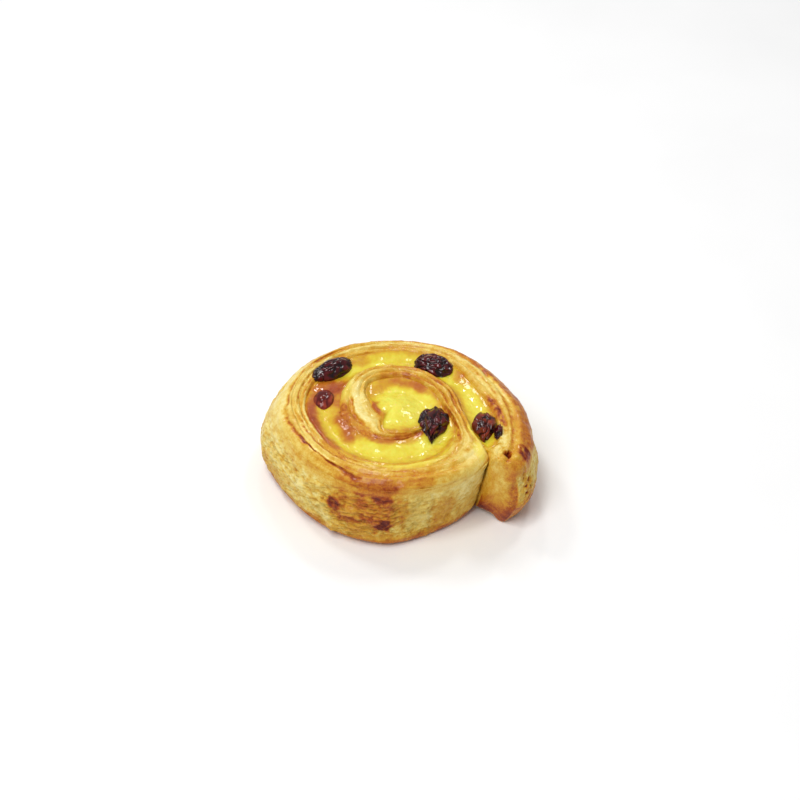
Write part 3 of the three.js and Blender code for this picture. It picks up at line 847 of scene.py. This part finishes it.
def keep_largest(bm):
    """Deletes the loose scraps that cutting leaves."""
    bm.verts.ensure_lookup_table()
    seen, groups = set(), []
    for start in bm.verts:
        if start.index in seen:
            continue
        group, open_verts = [], [start]
        seen.add(start.index)
        while open_verts:
            vert = open_verts.pop()
            group.append(vert)
            for edge in vert.link_edges:
                other = edge.other_vert(vert)
                if other.index not in seen:
                    seen.add(other.index)
                    open_verts.append(other)
        groups.append(group)
    groups.sort(key=len)
    for group in groups[:-1]:
        bmesh.ops.delete(bm, geom=group, context="VERTS")


def make_custard(material):
    bm = cut(custard_blank(), strip_cutter())
    keep_largest(bm)
    points = np.array([v.co for v in bm.verts]) / MM
    distance, _, hour, radius = strip_distance(points)
    ragged = clouds(points, 4, 14)
    bake = 0.08 + 0.42 * np.exp(-distance / 2.2)
    bake = bake + 0.10 * clouds(points, 6, 13) + 0.04 * clouds(points, 1.6, 15)
    for patch_hour, patch_radius, half_hours, half_width, tone, strength in CUSTARD_PATCHES:
        near = (hour - patch_hour + TURN / 2) % TURN - TURN / 2 + 0.12 * ragged
        share = spot(near, radius + 0.8 * ragged, 0, patch_radius, half_hours, half_width, 0.7)
        bake = blend(bake, tone, share * strength)
    write_attribute(bm, "bake", np.clip(bake, 0, 1))
    piece = new_piece("custard_filling", bm, material, "custard", "custard")
    piece.data.set_sharp_from_angle(angle=math.radians(50))
    return piece


def wrinkle_at(direction, seed):
    """What its folds and short creases add to a raisin's plain radius in one direction, as a share of it."""
    x, y, z = direction.T
    fold = np.sin(6.5 * np.arctan2(z, y) + 2.1 * np.sin(3 * x + seed) + seed)
    crease = np.sin(9 * x + 4 * y + 1.7 * seed) * np.sin(7 * z - 3 * x)
    return 0.085 * (0.75 * fold + 0.6 * crease) * (1 - 0.6 * x ** 4)


def make_raisin(name, row, seed, plump, material):
    """A raisin. A plump one has shallower folds."""
    hour, radius, z, length, width, height, yaw, tip, taper = row
    bm = bmesh.new()
    bmesh.ops.create_icosphere(bm, subdivisions=6, radius=1)
    direction = np.array([v.co for v in bm.verts])
    narrow = 1 - taper * smooth(direction[:, 0], -0.2, 1)
    half = np.stack([0 * narrow + length / 2, narrow * width / 2, 0 * narrow + height / 2], -1)
    plain = direction * half
    folds = 1 - np.abs(clouds(plain * (0.5, 1, 1), 3.3, seed, 2))
    pucker = clouds(plain * (0.6, 1, 1), 2.1, seed + 7, 1)
    creases = 0.16 * smooth(folds, 0.76, 1.0) - 0.06 * pucker
    share = 1.06 + (wrinkle_at(direction, seed) - creases) * (1 - plump)
    local = plain * share[:, None]
    turned = Matrix.Rotation(-hour * 2 * math.pi / TURN - math.radians(yaw), 4, "Z")
    turned = turned @ Matrix.Rotation(math.radians(tip), 4, "Y")
    centre = place(np.array(hour), radius, z)
    points = local @ np.array(turned.to_3x3()).T + centre
    for vert, point in zip(bm.verts, points * MM):
        vert.co = point
    # Where the creases lie, for the painted shade in them
    write_attribute(bm, "crease", smooth(folds, 0.72, 1.0) - 0.4 * pucker)
    return new_piece(name + "_glazed", bm, material, "raisin", name)


def linear(red, green, blue):
    """A colour as a painter names it, 0 to 255, turned into light."""
    values = np.array([red, green, blue]) / 255
    light = np.where(values <= 0.04045, values / 12.92, ((values + 0.055) / 1.055) ** 2.4)
    return (*light, 1)


class Finish:
    """A material and short ways to add nodes to it."""

    def __init__(self, name):
        self.material = bpy.data.materials.new(name)
        self.material.use_nodes = True
        self.nodes = self.material.node_tree.nodes
        self.links = self.material.node_tree.links
        self.shader = self.nodes["Principled BSDF"]

    def link(self, source, target):
        self.links.new(source, target)

    def attribute(self, name):
        node = self.nodes.new("ShaderNodeAttribute")
        node.attribute_name = name
        return node.outputs["Fac"]

    def object_place(self):
        return self.nodes.new("ShaderNodeTexCoord").outputs["Object"]

    def noise(self, size, detail=3, stretch=(1, 1, 1)):
        """Noise in clouds of that many millimetres."""
        mapping = self.nodes.new("ShaderNodeMapping")
        mapping.inputs["Scale"].default_value = stretch
        self.link(self.object_place(), mapping.inputs["Vector"])
        node = self.nodes.new("ShaderNodeTexNoise")
        node.inputs["Scale"].default_value = 1 / (size * MM)
        node.inputs["Detail"].default_value = detail
        self.link(mapping.outputs["Vector"], node.inputs["Vector"])
        return node.outputs["Fac"]

    def grain(self, along, across):
        """Noise drawn out along the strip, from the flow in millimetres."""
        flow = self.nodes.new("ShaderNodeAttribute")
        flow.attribute_name = "flow"
        mapping = self.nodes.new("ShaderNodeMapping")
        mapping.inputs["Scale"].default_value = (1 / along, 1 / across, 1)
        self.link(flow.outputs["Vector"], mapping.inputs["Vector"])
        node = self.nodes.new("ShaderNodeTexNoise")
        node.inputs["Scale"].default_value = 1
        node.inputs["Detail"].default_value = 3
        self.link(mapping.outputs["Vector"], node.inputs["Vector"])
        return node.outputs["Fac"]

    def math(self, operation, a, b):
        node = self.nodes.new("ShaderNodeMath")
        node.operation = operation
        for socket, value in zip(node.inputs, (a, b)):
            if isinstance(value, (int, float)):
                socket.default_value = value
            else:
                self.link(value, socket)
        return node.outputs[0]

    def span(self, value, low, high, to_low, to_high):
        node = self.nodes.new("ShaderNodeMapRange")
        for name, number in (("From Min", low), ("From Max", high), ("To Min", to_low), ("To Max", to_high)):
            node.inputs[name].default_value = number
        self.link(value, node.inputs["Value"])
        return node.outputs["Result"]

    def ramp(self, value, stops):
        node = self.nodes.new("ShaderNodeValToRGB")
        ramp = node.color_ramp
        while len(ramp.elements) < len(stops):
            ramp.elements.new(0.5)
        for element, (position, colour) in zip(ramp.elements, stops):
            element.position = position
            element.color = linear(*colour)
        self.link(value, node.inputs["Fac"])
        return node.outputs["Color"]

    def mix(self, share, colour, other):
        """The colour, with the other one over it by the share."""
        node = self.nodes.new("ShaderNodeMix")
        node.data_type = "RGBA"
        self.link(share, node.inputs["Factor"])
        self.link(colour, node.inputs[6])
        node.inputs[7].default_value = linear(*other)
        return node.outputs[2]

    def bump(self, height, distance, strength=1.0):
        node = self.nodes.new("ShaderNodeBump")
        node.inputs["Distance"].default_value = distance * MM
        node.inputs["Strength"].default_value = strength
        self.link(height, node.inputs["Height"])
        self.link(node.outputs["Normal"], self.shader.inputs["Normal"])

    def set(self, **values):
        for name, value in values.items():
            self.shader.inputs[name.replace("_", " ")].default_value = value


def crust_finish():
    finish = Finish("baked_crust")
    mottle = finish.noise(2.2, 4)
    speck = finish.noise(0.6, 3)
    grain = finish.grain(9, 0.9)
    bake = finish.math("ADD", finish.attribute("bake"), finish.span(mottle, 0.3, 0.7, -0.08, 0.08))
    bake = finish.math("ADD", bake, finish.span(speck, 0.3, 0.7, -0.07, 0.07))
    bake = finish.math("ADD", bake, finish.span(grain, 0.3, 0.7, -0.03, 0.03))
    colour = finish.ramp(bake, [
        (0.00, (244, 226, 148)),
        (0.20, (231, 200, 98)),
        (0.40, (214, 161, 46)),
        (0.58, (196, 120, 28)),
        (0.76, (162, 72, 20)),
        (1.00, (106, 26, 12)),
    ])
    colour = finish.mix(finish.attribute("spill"), colour, (236, 219, 80))
    finish.link(colour, finish.shader.inputs["Base Color"])
    roughness = finish.span(finish.attribute("glaze"), 0, 1, 0.54, 0.26)
    finish.link(roughness, finish.shader.inputs["Roughness"])
    height = finish.math("ADD", finish.noise(0.9, 4), finish.math("MULTIPLY", grain, 0.5))
    finish.bump(height, 0.32, 0.60)
    finish.set(Specular_IOR_Level=0.20, Coat_Weight=0.25, Coat_Roughness=0.06)
    finish.set(Subsurface_Weight=0.05, Subsurface_Scale=0.002)
    finish.shader.inputs["Subsurface Radius"].default_value = (1, 0.6, 0.3)
    return finish.material


def custard_finish():
    finish = Finish("glazed_custard")
    mottle = finish.span(finish.noise(2.4, 3), 0.3, 0.7, -0.06, 0.08)
    bake = finish.math("ADD", finish.attribute("bake"), mottle)
    colour = finish.ramp(bake, [
        (0.00, (236, 228, 86)),
        (0.22, (226, 204, 50)),
        (0.45, (210, 160, 30)),
        (0.65, (190, 112, 24)),
        (0.85, (164, 72, 22)),
        (1.00, (124, 42, 16)),
    ])
    finish.link(colour, finish.shader.inputs["Base Color"])
    ripple = finish.math("ADD", finish.noise(2.0, 2), finish.math("MULTIPLY", finish.noise(0.7, 2), 0.35))
    finish.bump(ripple, 0.45, 0.6)
    finish.set(Roughness=0.36, Specular_IOR_Level=0.22, Coat_Weight=0.55, Coat_Roughness=0.04)
    finish.set(Subsurface_Weight=0.10, Subsurface_Scale=0.003)
    return finish.material


def raisin_finish(name, dark, light):
    finish = Finish(name)
    # Painted shade: the raisin is darker in its creases
    crease_shade = finish.math("MULTIPLY", finish.attribute("crease"), -0.25)
    tone = finish.math("ADD", finish.noise(3.2, 2), crease_shade)
    colour = finish.ramp(tone, [(0.26, dark), (0.72, light)])
    finish.link(colour, finish.shader.inputs["Base Color"])
    finish.bump(finish.noise(1.3, 1), 0.15, 0.4)
    finish.set(Roughness=0.40, Specular_IOR_Level=0.0, Coat_Weight=0.90, Coat_Roughness=0.03)
    return finish.material


def floor_finish():
    finish = Finish("pale_floor")
    finish.set(Roughness=0.6)
    shade = finish.ramp(finish.noise(60, 2), [(0.3, (250, 250, 250)), (0.7, (253, 253, 253))])
    finish.link(shade, finish.shader.inputs["Base Color"])
    return finish.material


def make_floor():
    bm = bmesh.new()
    bmesh.ops.create_grid(bm, x_segments=8, y_segments=8, size=3)
    bmesh.ops.translate(bm, verts=bm.verts, vec=(0, 0, -0.1 * MM))
    floor = plain_object("floor", bm)
    floor.data.materials.append(floor_finish())


# The camera looks down on the swirl's front, as the photo's did
CAMERA_TILT = math.radians(40)
CAMERA_AIM = Vector((1.1, 6.13, 27.95))
CAMERA_DISTANCE = 720
CAMERA_LENS = 85
# The even light from all round, and the round lamps: azimuth, elevation, distance and width in metres, power
WORLD_LIGHT = 0.34
LAMPS = {
    "key_front_left": (-34, 58, 1.2, 0.7, 6.3),
    "window_back_left": (222, 50, 0.9, 0.18, 1.30),
    "window_back": (184, 46, 0.9, 0.08, 0.50),
    "window_back_right": (150, 54, 0.9, 0.16, 1.05),
    "window_top": (-60, 78, 0.9, 0.18, 1.30),
}


def make_camera():
    data = bpy.data.cameras.new("camera")
    data.lens = CAMERA_LENS
    data.sensor_width = 36
    camera = bpy.data.objects.new("camera", data)
    back = Vector((0, -math.cos(CAMERA_TILT), math.sin(CAMERA_TILT)))
    camera.location = (CAMERA_AIM + back * CAMERA_DISTANCE) * MM
    camera.rotation_euler = (-back).to_track_quat("-Z", "Y").to_euler()
    bpy.context.scene.collection.objects.link(camera)
    bpy.context.scene.camera = camera


def make_lamp(name, azimuth, elevation, distance, size, power):
    """A round softbox that faces the swirl. Azimuth 0 is the front and 90 the right."""
    data = bpy.data.lights.new(name, "AREA")
    data.shape = "DISK"
    data.size = size
    data.energy = power
    lamp = bpy.data.objects.new(name, data)
    turn, rise = math.radians(azimuth), math.radians(elevation)
    away = Vector((math.sin(turn) * math.cos(rise), -math.cos(turn) * math.cos(rise), math.sin(rise)))
    lamp.location = away * distance
    lamp.rotation_euler = away.to_track_quat("Z", "Y").to_euler()
    bpy.context.scene.collection.objects.link(lamp)


def make_light():
    world = bpy.data.worlds.new("studio")
    world.use_nodes = True
    world.node_tree.nodes["Background"].inputs["Color"].default_value = (1, 1, 1, 1)
    world.node_tree.nodes["Background"].inputs["Strength"].default_value = WORLD_LIGHT
    bpy.context.scene.world = world
    for name, row in LAMPS.items():
        make_lamp(name, *row)
    bpy.context.scene.view_settings.view_transform = "Standard"


crust = crust_finish()
custard = custard_finish()
dark_raisin = raisin_finish("dark_raisin", (24, 3, 9), (100, 18, 22))
brown_raisin = raisin_finish("brown_raisin", (44, 6, 8), (146, 52, 28))
red_raisin = raisin_finish("red_raisin", (84, 18, 18), (164, 64, 46))
raisin_finishes = dict.fromkeys(RAISINS, dark_raisin)
raisin_finishes.update(raisin_right=brown_raisin, raisin_left=red_raisin)

make_dough(crust)
make_custard(custard)
for count, (raisin_name, raisin_row) in enumerate(RAISINS.items()):
    plump = PLUMP_RAISINS.get(raisin_name, 0)
    make_raisin(raisin_name, raisin_row, count + 1, plump, raisin_finishes[raisin_name])
make_floor()
make_camera()
make_light()
